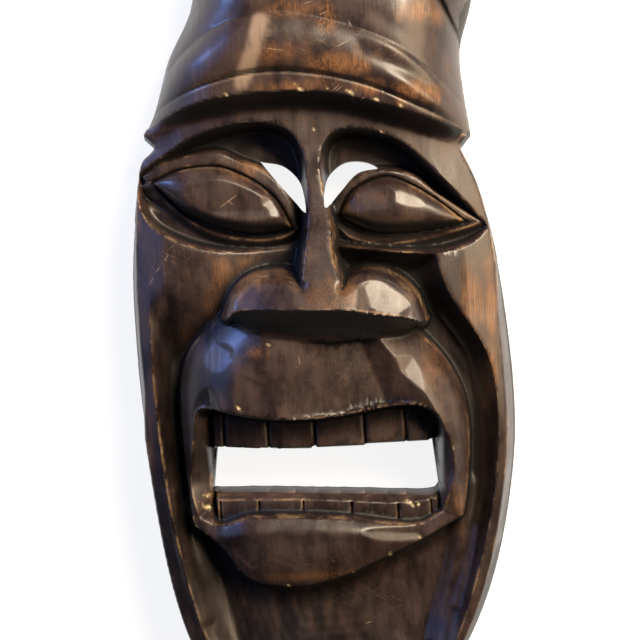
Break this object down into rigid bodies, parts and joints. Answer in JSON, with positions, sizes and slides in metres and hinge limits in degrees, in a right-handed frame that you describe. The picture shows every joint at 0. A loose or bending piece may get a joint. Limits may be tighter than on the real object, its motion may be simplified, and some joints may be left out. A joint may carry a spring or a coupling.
{
  "type": "tribal mask",
  "caption": "Carved wooden wall mask of a long face with a wrapped headdress, heavy shut eyes, broad nose and an open mouth with teeth.",
  "frame": {"origin": "middle of the flat back rim's rectangle, on the surface that the mask lies on", "axes": "+Z out of the face, +Y up to the headdress, +X to the right of someone who looks at the face"},
  "size_m": [0.2092, 0.476, 0.08],
  "materials": {
    "dark_hardwood": "dark stained and waxed, worn to red-brown on the edges"
  },
  "bodies": {
    "root": {"mask": "dark_hardwood"}
  },
  "joints": []
}
